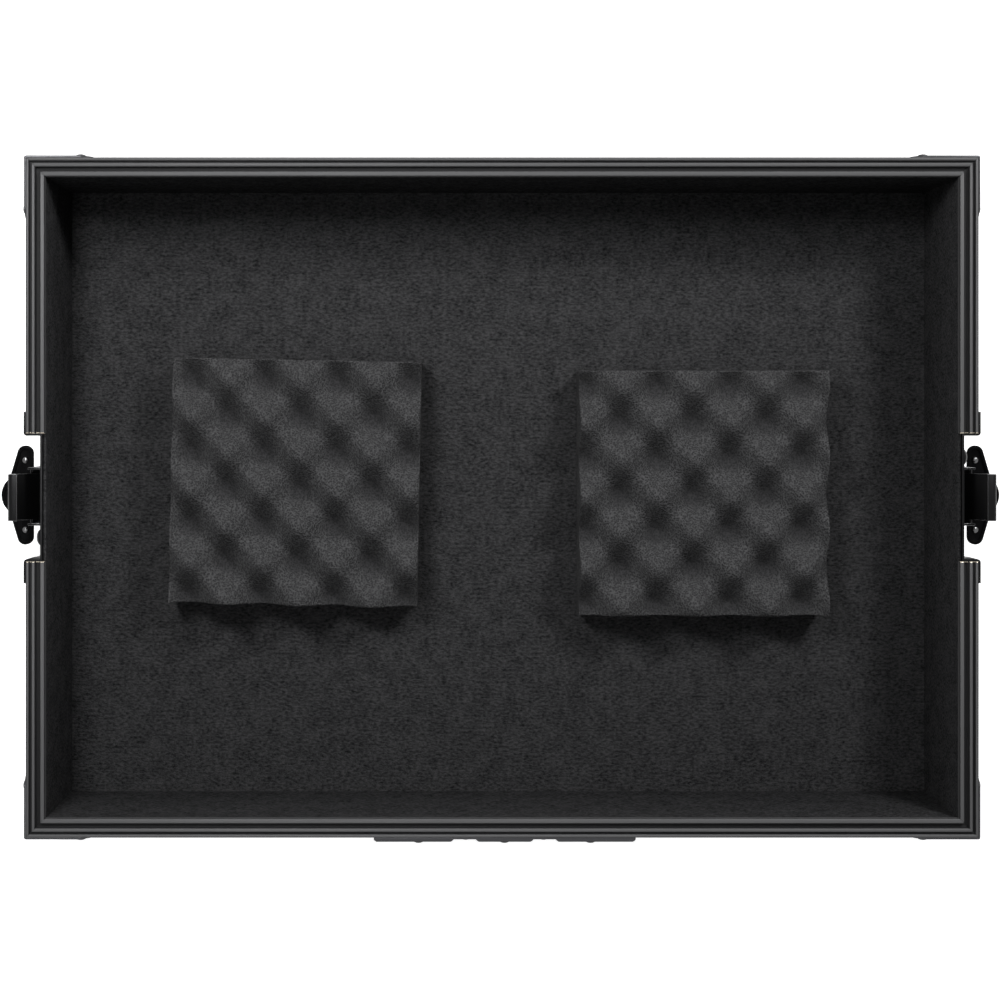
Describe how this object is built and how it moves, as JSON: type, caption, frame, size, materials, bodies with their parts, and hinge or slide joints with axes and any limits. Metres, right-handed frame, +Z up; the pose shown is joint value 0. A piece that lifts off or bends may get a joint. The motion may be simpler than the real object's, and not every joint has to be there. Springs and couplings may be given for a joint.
{
  "type": "flight case half",
  "caption": "Shallow open tray of an equipment flight case, lined with felt, with foam pads, metal edges, ball corners, butterfly latches and a flip handle.",
  "frame": {"origin": "on the ground under the middle of the tray, which stands on its closed side", "axes": "+X along the long side towards the right latch, +Y towards the rear, +Z up out of the open side"},
  "size_m": [0.6004, 0.4052, 0.103],
  "materials": {
    "felt": "needled black felt",
    "laminate": "plywood faced with black laminate",
    "foam": "open-cell grey foam",
    "black_aluminium": "black anodised, satin",
    "black_pressed_steel": "black powder coat",
    "black_steel": "black zinc plate, satin",
    "black_rivet": "black coated",
    "steel_pin": "bright steel",
    "grip_rubber": "ribbed black rubber"
  },
  "bodies": {
    "case": {"ball_corner_rivets": "black_rivet", "brace_rivets": "black_rivet", "floor_lining": "felt", "floor_panel": "laminate", "front_edge_angle": "black_aluminium", "front_left_ball_corner": "black_pressed_steel", "front_left_brace": "black_pressed_steel", "front_left_corner_angle": "black_aluminium", "front_lining": "felt", "front_panel": "laminate", "front_right_ball_corner": "black_pressed_steel", "front_right_brace": "black_pressed_steel", "front_right_corner_angle": "black_aluminium", "front_rim_rail": "black_aluminium", "handle_pivot_pin": "steel_pin", "handle_plate": "black_pressed_steel", "handle_rivets": "black_rivet", "handle_springs": "steel_pin", "left_edge_angle": "black_aluminium", "left_foam_pad": "foam", "left_front_rim_rail": "black_aluminium", "left_latch_bracket": "black_steel", "left_latch_dish": "black_pressed_steel", "left_latch_rivets": "black_rivet", "left_lining": "felt", "left_locating_stud": "black_rivet", "left_panel": "laminate", "left_rear_rim_rail": "black_aluminium", "rear_edge_angle": "black_aluminium", "rear_left_ball_corner": "black_pressed_steel", "rear_left_brace": "black_pressed_steel", "rear_left_corner_angle": "black_aluminium", "rear_lining": "felt", "rear_panel": "laminate", "rear_right_ball_corner": "black_pressed_steel", "rear_right_brace": "black_pressed_steel", "rear_right_corner_angle": "black_aluminium", "rear_rim_rail": "black_aluminium", "right_edge_angle": "black_aluminium", "right_foam_pad": "foam", "right_front_rim_rail": "black_aluminium", "right_latch_bracket": "black_steel", "right_latch_dish": "black_pressed_steel", "right_latch_rivets": "black_rivet", "right_lining": "felt", "right_locating_stud": "black_rivet", "right_panel": "laminate", "right_rear_rim_rail": "black_aluminium", "trim_rivets": "black_rivet"},
    "left_spindle": {"left_latch_spindle": "black_steel", "left_wing_pin": "steel_pin"},
    "left_hook": {"left_latch_hook": "black_steel"},
    "left_wing": {"left_latch_wing": "black_steel"},
    "right_spindle": {"right_latch_spindle": "black_steel", "right_wing_pin": "steel_pin"},
    "right_hook": {"right_latch_hook": "black_steel"},
    "right_wing": {"right_latch_wing": "black_steel"},
    "handle": {"handle_bail": "black_pressed_steel", "handle_grip": "grip_rubber"}
  },
  "joints": [
    {"name": "left_spindle_turn", "type": "hinge", "parent": "case", "child": "left_spindle", "pos_m": [-0.2696, 0, 0.062], "axis": [-1, 0, 0], "range_deg": [0, 180]},
    {"name": "left_hook_slide", "type": "slide", "parent": "case", "child": "left_hook", "axis": [0, 0, 1], "range_m": [0, 0.009]},
    {"name": "left_wing_fold", "type": "hinge", "parent": "left_spindle", "child": "left_wing", "pos_m": [-0.2826, 0, 0.062], "axis": [0, -1, 0], "range_deg": [0, 90]},
    {"name": "right_spindle_turn", "type": "hinge", "parent": "case", "child": "right_spindle", "pos_m": [0.2696, 0, 0.062], "axis": [1, 0, 0], "range_deg": [0, 180]},
    {"name": "right_hook_slide", "type": "slide", "parent": "case", "child": "right_hook", "axis": [0, 0, 1], "range_m": [0, 0.009]},
    {"name": "right_wing_fold", "type": "hinge", "parent": "right_spindle", "child": "right_wing", "pos_m": [0.2826, 0, 0.062], "axis": [0, 1, 0], "range_deg": [0, 90]},
    {"name": "handle_swing", "type": "hinge", "parent": "case", "child": "handle", "pos_m": [0.0015, -0.1965, 0.0655], "axis": [-1, 0, 0], "range_deg": [0, 95], "stiffness_Nm_per_rad": 0.02}
  ],
  "couplings": [
    {"joint": "left_hook_slide", "follows": "left_spindle_turn", "m_per_rad": 0.0028647},
    {"joint": "right_hook_slide", "follows": "right_spindle_turn", "m_per_rad": 0.0028647}
  ]
}
